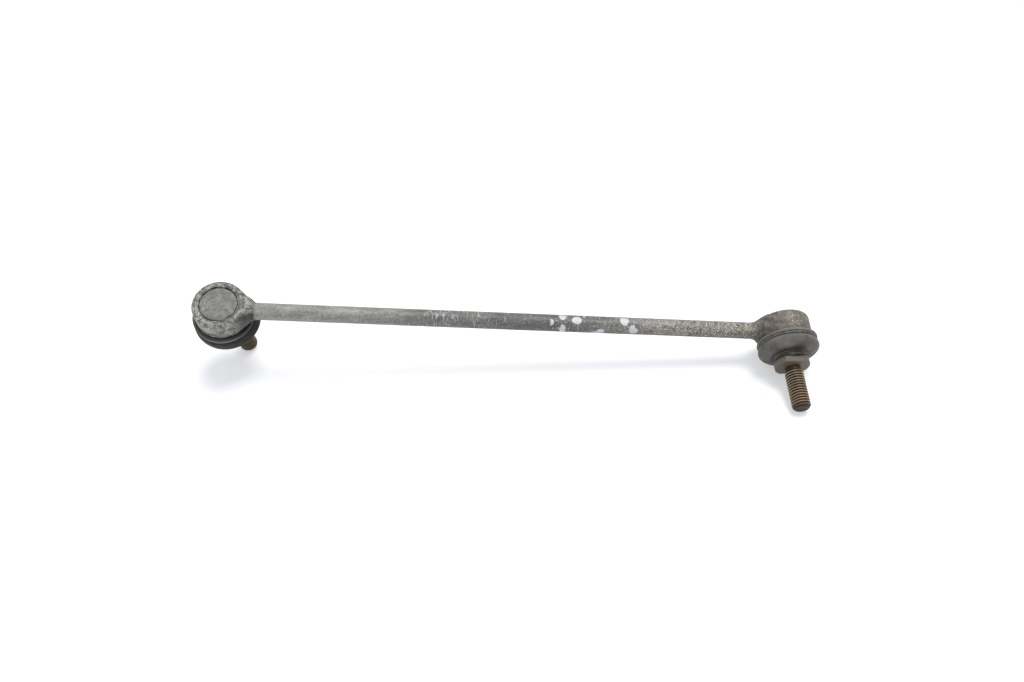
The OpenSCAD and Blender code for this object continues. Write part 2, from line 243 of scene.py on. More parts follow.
def worn_steel(
    name, greys, scuff, scuff_share, cloud_mm=2.4, scuff_mm=1.0, stain="#6E6A58", rough=0.5, wear_and_reflection_at=None
):
    made = bpy.data.materials.new(name)
    tree, out = blank(made)
    place = add(tree, "TexCoord").outputs["Object"]
    cloud = add(tree, "TexNoise", {"Vector": place, "Scale": per_mm(cloud_mm), "Detail": 6, "Roughness": 0.62})
    stops = [(0.41, greys[0]), (0.59, greys[2]), (0.5, greys[1])]
    base = add(tree, "ValToRGB", {"Fac": cloud.outputs["Fac"]}, stops)
    # Stains gather in a few large patches
    patch = add(tree, "TexNoise", {"Vector": place, "Scale": per_mm(cloud_mm * 3), "Detail": 3})
    gather = {"Value": patch.outputs["Fac"], "From Min": 0.58, "From Max": 0.7, "To Max": 0.75}
    stained = add(tree, "MapRange", gather).outputs[0]
    tinted = add(tree, "Mix", {SHARE: stained, UNDER: base.outputs[0], OVER: linear(stain)}, data_type="RGBA")
    # Scuffs are small. There are more of them in one place, or else where the patches are pale
    if wear_and_reflection_at:
        # Round that place a pale haze: wear on the lying housing, a painted reflection on the upright cover
        away = add(tree, "VectorMath", {0: place, 1: wear_and_reflection_at}, operation="DISTANCE").outputs["Value"]
        near = {"Value": away, "From Min": 0.003, "From Max": 0.01, "To Min": 0.1, "To Max": -0.1}
        haze = {"Value": away, "From Min": 0.002, "From Max": 0.013, "To Min": 0.2, "To Max": 0.0}
        pale_wear_and_reflection = add(tree, "MapRange", haze).outputs[0]
        layers = {SHARE: pale_wear_and_reflection, UNDER: tinted.outputs[MIXED], OVER: linear(scuff)}
        tinted = add(tree, "Mix", layers, data_type="RGBA")
    else:
        near = {"Value": patch.outputs["Fac"], "From Min": 0.3, "From Max": 0.7, "To Min": -0.08, "To Max": 0.08}
    more = add(tree, "MapRange", near).outputs[0]
    speck = add(tree, "TexNoise", {"Vector": place, "Scale": per_mm(scuff_mm), "Detail": 4, "Roughness": 0.7})
    scuffs = add(tree, "Math", {0: speck.outputs["Fac"], 1: more}, operation="ADD").outputs[0]
    low = 0.74 - 0.2 * scuff_share
    mask = add(tree, "MapRange", {"Value": scuffs, "From Min": low, "From Max": low + 0.08}).outputs[0]
    layers = {SHARE: mask, UNDER: tinted.outputs[MIXED], OVER: linear(scuff)}
    scuffed = add(tree, "Mix", layers, data_type="RGBA")
    # Each scuff has a dark pit next to it
    beside = {"Value": scuffs, "From Min": low - 0.1, "From Max": low - 0.05, "To Max": 0.5}
    pit = add(tree, "MapRange", beside).outputs[0]
    pit_off = add(tree, "Math", {0: pit, 1: mask}, operation="SUBTRACT", use_clamp=True).outputs[0]
    layers = {SHARE: pit_off, UNDER: scuffed.outputs[MIXED], OVER: linear("#4A433B")}
    pitted = add(tree, "Mix", layers, data_type="RGBA")
    # Dirt sits in the grooves and along the housing's lower rim, dirt and painted shade by the neck, and painted
    # shade low on the lying housing and in front of the upright one
    dirt_and_shade = add(tree, "Attribute", attribute_name="dirt_and_shade").outputs["Fac"]
    depth = add(tree, "Attribute", attribute_name="depth").outputs["Fac"]
    rim = add(tree, "MapRange", {"Value": depth, "From Min": RIM_DIRT[0], "From Max": RIM_DIRT[1]}).outputs[0]
    darkening = add(tree, "Math", {0: dirt_and_shade, 1: rim}, operation="MAXIMUM").outputs[0]
    layers = {SHARE: darkening, UNDER: pitted.outputs[MIXED], OVER: linear("#1F1D1B")}
    darkened = add(tree, "Mix", layers, data_type="RGBA")
    gloss = add(tree, "MapRange", {"Value": cloud.outputs["Fac"], "To Min": rough - 0.12, "To Max": rough + 0.14})
    bumps = add(tree, "Bump", {"Height": speck.outputs["Fac"], "Strength": 0.6, "Distance": 0.00008})
    finish = {
        "Base Color": darkened.outputs[MIXED],
        "Roughness": gloss.outputs[0],
        "Normal": bumps.outputs[0],
        "Metallic": 0.15,
    }
    tree.links.new(add(tree, "BsdfPrincipled", finish).outputs[0], out.inputs["Surface"])
    return made


# %% Steel finishes
LYING_SCUFF = (0.1553, 0.0069, 0.0327)  # where the lying housing was hit, in metres
COVER_REFLECTION = (-0.1582, 0.0091, 0.0508)  # where a painted reflection lightens the upright cover
housing_finish = {
    # Phosphate on a forging: dull and mottled, with pale nicks all over
    "left": worn_steel(
        "phosphated_forged_steel",
        greys=("#5A5953", "#918F88", "#BDBCB4"),
        scuff="#DAD8D0",
        scuff_share=0.78,
        scuff_mm=1.1,
        stain="#87836C",
        rough=0.48,
    ),
    # The same forging after years of spray: browner and duller, knocked bright in one place
    "right": worn_steel(
        "weathered_forged_steel",
        greys=("#59544C", "#756F65", "#918B80"),
        scuff="#D4C8B6",
        scuff_share=0.66,
        cloud_mm=2.6,
        stain="#745A42",
        rough=0.56,
        wear_and_reflection_at=LYING_SCUFF,
    ),
}
# Zinc on pressed sheet: smoother and more even than the forging, with a soft sheen and a painted reflection on one
# side
cover_finish = worn_steel(
    "zinc_plated_sheet_steel",
    greys=("#696A67", "#7C7D79", "#90918C"),
    scuff="#BCBDB8",
    scuff_share=0.54,
    cloud_mm=3.2,
    wear_and_reflection_at=COVER_REFLECTION,
)
# Scale on a weld: fine-grained, dull, and as pale as the rod next to it
weld_finish = worn_steel(
    "weld_scale",
    greys=("#64625D", "#83817B", "#9E9B94"),
    scuff="#B0ADA5",
    scuff_share=0.4,
    cloud_mm=1.5,
    scuff_mm=0.8,
    rough=0.58,
)
print("steel finishes:", len(housing_finish) + 2)

# %% [markdown]
# ## The rod's finish
# The rod is one bar, but it has worn unevenly: plain grey at one end, scratched to bare metal in the middle,
# dark next to that, then dabs of white paint, and rough and brownish at the other end.
# Five materials on five stretches would show hard edges. Here one ramp along X chooses the grey,
# noise makes the borders wander, and each kind of wear fades in on its own stretch.

# %% Rod finish: the greys along it
# Zinc on drawn bar: a fine-grained pale grey with a satin sheen
ROD_FROM, ROD_TO = -0.137, 0.137
rod_finish = bpy.data.materials.new("zinc_coated_drawn_steel")
tree, out = blank(rod_finish)
place = add(tree, "TexCoord").outputs["Object"]
axes = add(tree, "SeparateXYZ", {0: place})
cloud = add(tree, "TexNoise", {"Vector": place, "Scale": per_mm(9), "Detail": 5, "Roughness": 0.6})
along = add(tree, "MapRange", {"Value": axes.outputs["X"], "From Min": ROD_FROM, "From Max": ROD_TO}).outputs[0]
wander = add(tree, "MapRange", {"Value": cloud.outputs["Fac"], "To Min": -0.07, "To Max": 0.07}).outputs[0]
zone = add(tree, "Math", {0: along, 1: wander}, operation="ADD").outputs[0]
greys = add(
    tree,
    "ValToRGB",
    {"Fac": zone},
    [
        (0.0, "#9D9D96"),
        (1.0, "#938C7E"),
        (0.2, "#9C9D96"),
        (0.27, "#95958E"),
        (0.32, "#7D7D77"),
        (0.42, "#7A7974"),
        (0.5, "#6B6A66"),
        (0.62, "#6D6C68"),
        (0.74, "#84827C"),
        (0.82, "#9F9B91"),
    ],
)
print("rod greys:", len(greys.color_ramp.elements), "stops")

# %% Rod finish: grain, streaks and scratches
grain = add(tree, "TexNoise", {"Vector": place, "Scale": per_mm(1.1), "Detail": 5, "Roughness": 0.7})
spread = {"Value": grain.outputs["Fac"], "From Min": 0.32, "From Max": 0.68, "To Min": 0.62, "To Max": 1.36}
shade = add(tree, "MapRange", spread).outputs[0]
layers = {SHARE: 1.0, UNDER: greys.outputs["Color"], OVER: shade}
toned = add(tree, "Mix", layers, data_type="RGBA", blend_type="MULTIPLY")
# Streaks run along the bar, as it was drawn
drawn = add(tree, "Mapping", {"Vector": place, "Scale": (0.25, 1, 1)}).outputs[0]
streak = add(tree, "TexNoise", {"Vector": drawn, "Scale": per_mm(2.6), "Detail": 4, "Roughness": 0.6})
spread = {"Value": streak.outputs["Fac"], "From Min": 0.3, "From Max": 0.7, "To Min": 0.72, "To Max": 1.28}
shade = add(tree, "MapRange", spread).outputs[0]
layers = {SHARE: 1.0, UNDER: toned.outputs[MIXED], OVER: shade}
streaked = add(tree, "Mix", layers, data_type="RGBA", blend_type="MULTIPLY")
# Scratches run round it at a slant, most of them in the middle
slanted = add(tree, "Mapping", {"Vector": place, "Rotation": (0, 0, 0.6), "Scale": (1, 0.3, 0.3)}).outputs[0]
scratch = add(tree, "TexNoise", {"Vector": slanted, "Scale": per_mm(0.9), "Detail": 4, "Roughness": 0.75})
worn = add(
    tree,
    "ValToRGB",
    {"Fac": zone},
    [(0.0, 0.0), (1.0, 0.6), (0.1, 0.2), (0.25, 0.5), (0.36, 1.0), (0.46, 0.9), (0.55, 0.6), (0.8, 0.55)],
)
scratch_low = add(tree, "MapRange", {"Value": worn.outputs["Color"], "To Min": 0.78, "To Max": 0.55}).outputs[0]
above = add(tree, "Math", {0: scratch.outputs["Fac"], 1: scratch_low}, operation="SUBTRACT").outputs[0]
bare = add(tree, "MapRange", {"Value": above, "From Max": 0.07}).outputs[0]
layers = {SHARE: bare, UNDER: streaked.outputs[MIXED], OVER: linear("#D6D6D2")}
scuffed = add(tree, "Mix", layers, data_type="RGBA")
print("rod scratches:", len(worn.color_ramp.elements), "stops")

# %% Rod finish: rust and specks
# Rust pits at the far end
pits = add(tree, "TexNoise", {"Vector": place, "Scale": per_mm(1.6), "Detail": 6, "Roughness": 0.8})
pit_zone = add(tree, "MapRange", {"Value": zone, "From Min": 0.72, "From Max": 0.86}).outputs[0]
pit_mask = add(tree, "MapRange", {"Value": pits.outputs["Fac"], "From Min": 0.47, "From Max": 0.56}).outputs[0]
pitted = add(tree, "Math", {0: pit_zone, 1: pit_mask}, operation="MULTIPLY").outputs[0]
layers = {SHARE: pitted, UNDER: scuffed.outputs[MIXED], OVER: linear("#4A4237")}
rusty = add(tree, "Mix", layers, data_type="RGBA")
# Pale specks of salt, more of them towards the far end
speck = add(tree, "TexNoise", {"Vector": place, "Scale": per_mm(0.8), "Detail": 2})
spread = {"Value": zone, "From Min": 0.25, "From Max": 0.9, "To Min": 0.72, "To Max": 0.56}
speck_low = add(tree, "MapRange", spread).outputs[0]
above = add(tree, "Math", {0: speck.outputs["Fac"], 1: speck_low}, operation="SUBTRACT").outputs[0]
speck_mask = add(tree, "MapRange", {"Value": above, "From Max": 0.05}).outputs[0]
layers = {SHARE: speck_mask, UNDER: rusty.outputs[MIXED], OVER: linear("#D8D5CD")}
specked = add(tree, "Mix", layers, data_type="RGBA")
print("rod rust and specks:", len(tree.nodes), "nodes so far")

# %% Rod finish: paint and dirt
# Old dabs of white paint on one stretch, with edges that noise has made uneven
wobble = add(tree, "TexNoise", {"Vector": place, "Scale": per_mm(5), "Detail": 3})
uneven = add(tree, "VectorMath", {0: wobble.outputs["Color"], "Scale": 0.003}, operation="SCALE").outputs[0]
moved = add(tree, "VectorMath", {0: place, 1: uneven}).outputs[0]
dab = add(tree, "TexVoronoi", {"Vector": moved, "Scale": per_mm(8.5), "Randomness": 0.8})
dab_mask = add(tree, "MapRange", {"Value": dab.outputs["Distance"], "From Min": 0.34, "From Max": 0.3}).outputs[0]
stretch = [(0.582, 0.0), (0.778, 0.0), (0.584, 1.0), (0.776, 1.0)]
dab_zone = add(tree, "ValToRGB", {"Fac": along}, stretch).outputs["Color"]
dabbed = add(tree, "Math", {0: dab_mask, 1: dab_zone}, operation="MULTIPLY").outputs[0]
layers = {SHARE: dabbed, UNDER: specked.outputs[MIXED], OVER: linear("#E4E4E6")}
painted = add(tree, "Mix", layers, data_type="RGBA")
# Painted shade on the underside
dirt_and_shade = add(tree, "Attribute", attribute_name="dirt_and_shade").outputs["Fac"]
layers = {SHARE: dirt_and_shade, UNDER: painted.outputs[MIXED], OVER: linear("#37322B")}
darkened = add(tree, "Mix", layers, data_type="RGBA")
gloss = add(tree, "MapRange", {"Value": grain.outputs["Fac"], "To Min": 0.42, "To Max": 0.66})
bumps = add(tree, "Bump", {"Height": pits.outputs["Fac"], "Strength": 0.45, "Distance": 0.00012})
finish = {
    "Base Color": darkened.outputs[MIXED],
    "Roughness": gloss.outputs[0],
    "Normal": bumps.outputs[0],
    "Metallic": 0.12,
}
tree.links.new(add(tree, "BsdfPrincipled", finish).outputs[0], out.inputs["Surface"])
print("rod finish:", len(tree.nodes), "nodes")

# %% [markdown]
# ## Rubber, thread and plastic
# The boots are moulded rubber: the upright one is darker, and road dust has turned the lying one grey.
# The studs are bare steel that has gone brown, with fresher rust near one tip.
# The shells inside are pale moulded acetal, and the clamps are drawn spring wire.
# Dust, rust, pale crests with painted highlights, and painted shade could come from noise alone.
# Here each mesh says where they are, because they follow its shape.

# %% Rubber
# Moulded rubber: dark and soft, with a faint sheen that grit and dust break up
DULL = 0.3  # specular level of dusty or rusty skins. A clean one has 0.5


def dusty_rubber(name, shades):
    made = bpy.data.materials.new(name)
    tree, out = blank(made)
    place = add(tree, "TexCoord").outputs["Object"]
    cloud = add(tree, "TexNoise", {"Vector": place, "Scale": per_mm(6), "Detail": 5, "Roughness": 0.6})
    stops = [(0.32, shades[0]), (0.7, shades[2]), (0.5, shades[1])]
    colour = add(tree, "ValToRGB", {"Fac": cloud.outputs["Fac"]}, stops)
    # Pale over the lip: dust on the lying boot, a painted highlight along the upright boot's ridge
    dust = add(tree, "Attribute", attribute_name="dust").outputs["Fac"]
    layers = {SHARE: dust, UNDER: colour.outputs[0], OVER: linear("#96938B")}
    dusted = add(tree, "Mix", layers, data_type="RGBA")
    # Dirt, and painted shade under the housing's rim, round the sleeve, by the neck and on the lying boot's far
    # side
    dirt_and_shade = add(tree, "Attribute", attribute_name="dirt_and_shade").outputs["Fac"]
    layers = {SHARE: dirt_and_shade, UNDER: dusted.outputs[MIXED], OVER: linear("#191817")}
    darkened = add(tree, "Mix", layers, data_type="RGBA")
    grit = add(tree, "TexNoise", {"Vector": place, "Scale": per_mm(0.7), "Detail": 3})
    bumps = add(tree, "Bump", {"Height": grit.outputs["Fac"], "Strength": 0.3, "Distance": 0.00004})
    gloss = add(tree, "MapRange", {"Value": cloud.outputs["Fac"], "To Min": 0.45, "To Max": 0.75})
    finish = {
        "Base Color": darkened.outputs[MIXED],
        "Roughness": gloss.outputs[0],
        "Normal": bumps.outputs[0],
        "Specular IOR Level": DULL,
    }
    tree.links.new(add(tree, "BsdfPrincipled", finish).outputs[0], out.inputs["Surface"])
    return made


# The upright boot is the darker of the two
rubber = {
    "left": dusty_rubber("dark_moulded_rubber", ("#2F2E2C", "#3F3E3B", "#55534F")),
    "right": dusty_rubber("dusty_moulded_rubber", ("#605E59", "#77746D", "#8F8B82")),
}
print("rubbers:", len(rubber))

# %% Browned stud steel
# Turned steel gone brown: dull and patchy, darker in the thread's roots with dirt and painted shade, pale on its
# crests with wear and painted highlights
stud_finish = bpy.data.materials.new("browned_turned_steel")
tree, out = blank(stud_finish)
place = add(tree, "TexCoord").outputs["Object"]
patch = add(tree, "TexNoise", {"Vector": place, "Scale": per_mm(6), "Detail": 5, "Roughness": 0.65})
stops = [(0.3, "#5E5542"), (0.72, "#A88A66"), (0.45, "#7C6F56"), (0.6, "#927F62")]
brown = add(tree, "ValToRGB", {"Fac": patch.outputs["Fac"]}, stops)
rust = add(tree, "Attribute", attribute_name="rust").outputs["Fac"]
flakes = add(tree, "TexNoise", {"Vector": place, "Scale": per_mm(2.2), "Detail": 5, "Roughness": 0.7})
flaking = add(tree, "Math", {0: rust, 1: flakes.outputs["Fac"]}, operation="MULTIPLY").outputs[0]
rust_mask = add(tree, "MapRange", {"Value": flaking, "From Min": 0.34, "From Max": 0.52}).outputs[0]
layers = {SHARE: rust_mask, UNDER: brown.outputs["Color"], OVER: linear("#A86C48")}
coat = add(tree, "Mix", layers, data_type="RGBA")
# Over that lie the crests' wear and painted highlights, the collar's barer steel, and dirt with painted shade
for attribute, colour in (("crest_wear_and_glint", "#C8B596"), ("bare", "#6A675F"), ("dirt_and_shade", "#241E14")):
    share = add(tree, "Attribute", attribute_name=attribute).outputs["Fac"]
    coat = add(tree, "Mix", {SHARE: share, UNDER: coat.outputs[MIXED], OVER: linear(colour)}, data_type="RGBA")
gloss = add(tree, "MapRange", {"Value": patch.outputs["Fac"], "To Min": 0.36, "To Max": 0.68})
bumps = add(tree, "Bump", {"Height": flakes.outputs["Fac"], "Strength": 0.4, "Distance": 0.00006})
finish = {
    "Base Color": coat.outputs[MIXED],
    "Roughness": gloss.outputs[0],
    "Normal": bumps.outputs[0],
    "Metallic": 0.3,
    "Specular IOR Level": DULL,
}
tree.links.new(add(tree, "BsdfPrincipled", finish).outputs[0], out.inputs["Surface"])
print("stud finish:", len(tree.nodes), "nodes")

# %% Plastic and wire
# Moulded acetal: ivory, smooth and a little glossy
acetal = bpy.data.materials.new("moulded_acetal")
tree, out = blank(acetal)
place = add(tree, "TexCoord").outputs["Object"]
mottle = add(tree, "TexNoise", {"Vector": place, "Scale": per_mm(4), "Detail": 3})
ivory = add(tree, "ValToRGB", {"Fac": mottle.outputs["Fac"]}, [(0.3, "#DDD8CA"), (0.7, "#E9E5DA")])
skin = add(tree, "BsdfPrincipled", {"Base Color": ivory.outputs["Color"], "Roughness": 0.38, "IOR": 1.48})
tree.links.new(skin.outputs[0], out.inputs["Surface"])
# Drawn spring wire: dark and even, and greyer where dust lies on it
wire = {"scuff_share": 0.3, "cloud_mm": 2.0, "scuff_mm": 0.8}
band_finish = {
    "left": worn_steel("drawn_spring_wire", ("#45433F", "#55524D", "#66625C"), "#78746C", rough=0.55, **wire),
    "right": worn_steel("dusty_spring_wire", ("#57554F", "#6A6761", "#7E7A72"), "#8E8A82", rough=0.6, **wire),
}
# The clamp rings are darker still: painted shade between the boot and the collar
ring_finish = worn_steel("shade_darkened_spring_wire", ("#2A2926", "#363431", "#45423E"), "#57544F", rough=0.45, **wire)
print("other finishes:", acetal.name, ring_finish.name, *(band.name for band in band_finish.values()))

# %% [markdown]
# ## Turned pieces
# Most pieces of the link are round, so they start as half of their outline and the spin tool turns it about Z.
# Ready-made cylinders could be stacked instead, but one outline leaves no seams between them.
# An outline is a list of corners, each with a radius, a height and how far it is eased,
# because no real edge is sharp.

# %% Helpers for outlines
def eased(corners, steps=5):
    """The outline's points, with each corner rounded off over its ease."""
    points = []
    for i, (r, z, ease) in enumerate(corners):
        here = Vector((r, z))
        if not ease:
            points.append(here)
            continue
        before = (Vector(corners[i - 1][:2]) - here).normalized() * ease
        after = (Vector(corners[(i + 1) % len(corners)][:2]) - here).normalized() * ease
        for k in range(steps + 1):
            t = k / steps
            points.append(here + before * (1 - t) ** 2 + after * t**2)
    return points


def turned(points, steps=96, closed=False):
    """A mesh turned about Z from an outline of (radius, height) points."""
    bm = bmesh.new()
    verts = [bm.verts.new((r, 0, z)) for r, z in points]
    pairs = list(zip(verts, verts[1:])) + ([(verts[-1], verts[0])] if closed else [])
    edges = [bm.edges.new(pair) for pair in pairs]
    bmesh.ops.spin(
        bm, geom=verts + edges, cent=(0, 0, 0), axis=(0, 0, 1), angle=math.tau, steps=steps, use_merge=True
    )
    bmesh.ops.remove_doubles(bm, verts=bm.verts, dist=1e-4)
    bmesh.ops.recalc_face_normals(bm, faces=bm.faces)
    return bm


# %% Helpers for marks
def mark(bm, name, share):
    """Stores a value from 0 to 1 on each point, from its place in the piece's own frame."""
    layer = bm.verts.layers.float.new(name)
    for v in bm.verts:
        v[layer] = min(1.0, max(0.0, share(v.co)))


def fade(value, start, end):
    """0 before start, 1 after end, and in between in between."""
    return min(1.0, max(0.0, (value - start) / (end - start)))


def ripple(co, size):
    """Noise from 0 to 1, with waves of about this size."""
    return 0.5 + 0.5 * noise.noise(co / size)


def radius(co):
    return math.hypot(co.x, co.y)


# %% Helpers for pieces
SHARP_EDGE = 35  # degrees


def make_piece(name, bm, place, finish):
    """The finished mesh as an object at the origin, with its place in its mesh."""
    bm.transform(place)
    mesh = bpy.data.meshes.new(name)
    bm.to_mesh(mesh)
    bm.free()
    mesh.shade_smooth()
    mesh.set_sharp_from_angle(angle=math.radians(SHARP_EDGE))
    mesh.materials.append(finish)
    made = bpy.data.objects.new(name, mesh)
    scene.collection.objects.link(made)
    print("made", name, "with", len(mesh.polygons), "faces")
    return made


def stand_for(made, node, body):
    """The piece replaces a node. It rides on a body, if it is given one."""
    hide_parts(node)
    if body:
        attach(made, body)


# %% [markdown]
# ## The rod
# A drawn bar is round but never perfect. A ready-made cylinder has no points between its ends to press in,
# so the bar is turned with a ring of points at about each millimetre.
# Noise then presses its skin in a little, more at the rusty end, so that light breaks up on it.

# %% Rod
ROD_R, ROD_STEPS = 4.65, 270
ROD_LENGTH = LINK_LENGTH - 2 * NECK_LENGTH
FINE_DENT, RUST_DENT, SLOW_DENT = 0.03, 0.09, 0.03
stations = [(ROD_R, k * ROD_LENGTH / ROD_STEPS) for k in range(ROD_STEPS + 1)]
bm = turned([(0, 0), *stations, (0, ROD_LENGTH)], steps=64)
for v in bm.verts:
    depth = FINE_DENT + RUST_DENT * fade(v.co.z, 190, 250)
    press = depth * ripple(v.co, 1.7) + SLOW_DENT * ripple(v.co, 9)
    r = radius(v.co)
    if r > 1:
        v.co.xy *= (r - max(0.0, press)) / r


def rod_underside_shade(co):
    """Painted shade on the underside, which grows in two steps along the rod."""
    return fade(co.x / ROD_R, -0.5, 0.7) * (0.22 * fade(co.z, 60, 130) + 0.3 * fade(co.z, 180, 235))


mark(bm, "dirt_and_shade", rod_underside_shade)
rod_piece = make_piece("rod_bar", bm, lying @ shift((NECK_LENGTH, 0, 0)) @ turn(90, "Y"), rod_finish)
stand_for(rod_piece, "rod", "link")

# %% [markdown]
# ## Housings
# The housing is a forging: a round body with a rounded shoulder that narrows into a neck for the rod.
# A boolean could join a cylinder and a cone, but it leaves a crease where a forging has none.
# So the outside is the convex hull of a stack of circles and the neck's end circle.
# The flat top and bottom of that hull are then opened, and the rim is extruded ring by ring:
# over the rolled lip, past the cover's pocket, down the bore, out of the mouth and back up the boot's seat.

# %% Housing sizes
HOUSING_R, SHOULDER_EASE, RIM_Z, LIP_TOP = 14.1, 2.6, -1.8, 11.15
FLAT_R = 11  # on the flat top and foot. It only tells the easing which way they run
NECK_R, NECK_EASE = 5.05, 0.15
SWELL = {"left": 0.0, "right": 0.7}  # of the neck's upper side
LIP_START_R, ROLLED_R = 10.9, 10.1
POCKET_R, POCKET_TOP, POCKET_FLOOR = 11.21, 10.2, 9.25
BORE_R, BORE_END = 10.33, -3.6
MOUTH_R, MOUTH_WIDE, MOUTH_END = 7.54, 8.12, -5.8
SEAT_R = 12.6
LEVEL, BIG_FACE = 0.9999, 300  # tell the flat top and foot from other faces
INSIDE = eased(
    [
        (LIP_START_R, LIP_TOP, 0.3),
        (ROLLED_R, 11.0, 0.35),
        (ROLLED_R, POCKET_TOP, 0),
        (POCKET_R, POCKET_TOP, 0),
        (POCKET_R, POCKET_FLOOR, 0),
        (BORE_R, POCKET_FLOOR, 0),
        (BORE_R, BORE_END, 0),
        (MOUTH_R, BORE_END, 0),
        (MOUTH_WIDE, MOUTH_END, 0),
        (SEAT_R, MOUTH_END, 0.25),
        (SEAT_R, RIM_Z, 0),
    ],
    4,
)
print("rings inside a housing:", len(INSIDE))


# %% Housing shape
def fill_flanks(bm, neck, swell):
    """Gives the flanks between body and neck more points, and swells their upper side a little."""
    ends = {v for v in bm.verts if (neck.inverted() @ v.co).z > NECK_LENGTH - 3}
    flanks = [e for e in bm.edges if (e.verts[0] in ends) != (e.verts[1] in ends)]
    grown = bmesh.ops.subdivide_edges(bm, edges=flanks, cuts=6, use_grid_fill=True)["geom_inner"]
    for v in (g for g in grown if isinstance(g, bmesh.types.BMVert)):
        local = neck.inverted() @ v.co
        r = radius(local)
        height = swell * math.sin(math.pi * fade(local.z, 6, NECK_LENGTH)) * fade(v.co.z, 1, 6)
        local.xy *= (r + height) / r
        v.co = neck @ local


def housing_hull(side):
    """The outside of a housing, still closed."""
    bm = bmesh.new()
    foot, rim = (FLAT_R, RIM_Z, 0), (HOUSING_R, RIM_Z, 0.4)
    shoulder, top = (HOUSING_R, LIP_TOP, SHOULDER_EASE), (FLAT_R, LIP_TOP, 0)
    for r, z in eased([foot, rim, shoulder, top], 8)[1:-1]:
        bmesh.ops.create_circle(bm, segments=96, radius=r, matrix=shift((0, 0, z)))
    neck = shift((0, 0, ROD_RISE)) @ turn(90 - NECK_LEAN[side], "Y")
    for r, z in ((NECK_R, NECK_LENGTH - 0.5), (NECK_R - NECK_EASE, NECK_LENGTH)):
        bmesh.ops.create_circle(bm, segments=48, radius=r, matrix=neck @ shift((0, 0, z)))
    hull = bmesh.ops.convex_hull(bm, input=bm.verts)
    loose = {v for v in hull["geom_interior"] + hull["geom_unused"] if isinstance(v, bmesh.types.BMVert)}
    bmesh.ops.delete(bm, geom=list(loose), context="VERTS")
    bmesh.ops.delete(bm, geom=[e for e in bm.edges if not e.link_faces], context="EDGES")
    bmesh.ops.dissolve_limit(bm, angle_limit=math.radians(0.4), verts=bm.verts, edges=bm.edges)
    fill_flanks(bm, neck, SWELL[side])
    return bm


def hollow(bm):
    """Opens the flat top and foot, and extrudes the inside from one to the other."""
    flats = [f for f in bm.faces if abs(f.normal.z) > LEVEL and f.calc_area() > BIG_FACE]
    top = [e for f in flats if f.normal.z > 0 for e in f.edges]
    foot = [e for f in flats if f.normal.z < 0 for e in f.edges]
    bmesh.ops.delete(bm, geom=flats, context="FACES_ONLY")
    ring = top
    for r, z in INSIDE:
        grown = bmesh.ops.extrude_edge_only(bm, edges=ring)["geom"]
        verts = [g for g in grown if isinstance(g, bmesh.types.BMVert)]
        ring = [g for g in grown if isinstance(g, bmesh.types.BMEdge)]
        scale = r / radius(verts[0].co)
        bmesh.ops.scale(bm, vec=(scale, scale, 1), verts=verts)
        bmesh.ops.translate(bm, vec=(0, 0, z - verts[0].co.z), verts=verts)
    bmesh.ops.bridge_loops(bm, edges=ring + foot)
    bmesh.ops.triangulate(bm, faces=[f for f in bm.faces if len(f.verts) > 4])
    bmesh.ops.recalc_face_normals(bm, faces=bm.faces)


# %% Housings
NECK_DIRT_AND_SHADE = {"left": 0.9, "right": 0.25}  # of dirt and painted shade by the neck
# Painted shade on the lying housing, darker towards its foot
LOWER_SHADE = {"left": 0.0, "right": 0.42}
FRONT_SHADE = {"left": 0.2, "right": 0.0}  # painted shade on the side towards the camera
SLANT = 0.93  # how far the neck's dirt and painted shade reach round to the joint's -Y side
RIM_R = 12.7  # just outside the boot's seat


def broken(co):
    """Old dirt that has fallen out of a groove here and there."""
    return 0.1 + 0.9 * fade(noise.noise(co / 3.4), -0.2, 0.2)


def housing_dirt_and_shade(side, co):
    """Dirt in the lip's groove, dirt and painted shade by the neck, and painted shade low on the housing and in
    front.
    """
    groove = fade(LIP_START_R - radius(co), 0, 0.8) * broken(co)
    dirt_and_shade_by_neck = NECK_DIRT_AND_SHADE[side] * fade(co.x, 8, 13) * fade(ROD_RISE - co.z - SLANT * co.y, -4, 1)
    foot = LOWER_SHADE[side] * fade(8 - co.z, 0, 8)
    shade_in_front = FRONT_SHADE[side] * fade(co.x, -2, 9) * fade(10.5 - co.z, 0, 3) * fade(-co.y, -4, 4)
    return max(groove, dirt_and_shade_by_neck, foot, shade_in_front)


for side in joint:
    bm = housing_hull(side)
    hollow(bm)
    mark(bm, "dirt_and_shade", lambda co: housing_dirt_and_shade(side, co))
    mark(bm, "depth", lambda co: depth_share(co.z) if radius(co) > RIM_R else 0)
    body = make_piece(side + "_forging", bm, joint[side], housing_finish[side])
    stand_for(body, side + "_housing", "link")

# %% [markdown]
# ## Covers and welds
# The cover is a pressed disc with a slightly domed middle and a thin edge that the housing's lip is rolled over.
# A flattened cylinder would have no step and no dome, so it is turned like the other round pieces.
# The weld is a small bead where the rod meets the neck.
# A torus would be too even, so a turned ring is rippled by noise.

# %% Cover
COVER_R, EDGE_TOP, STEP_R = 11.13, 10.15, 9.86
COVER = [
    (0, POCKET_FLOOR, 0),
    (COVER_R, POCKET_FLOOR, 0.15),
    (COVER_R, EDGE_TOP, 0.2),
    (STEP_R, EDGE_TOP, 0.1),
    (9.76, 10.62, 0.25),
    (8.4, 10.7, 0.6),
    (4.8, 10.81, 1.5),
    (0, 10.85, 0),
]
for side in joint:
    bm = turned(eased(COVER))
    mark(bm, "dirt_and_shade", lambda co: fade(radius(co), 9.1, STEP_R) * broken(co))
    disc = make_piece(side + "_cover_disc", bm, joint[side], cover_finish)
    stand_for(disc, side + "_cover", "link")

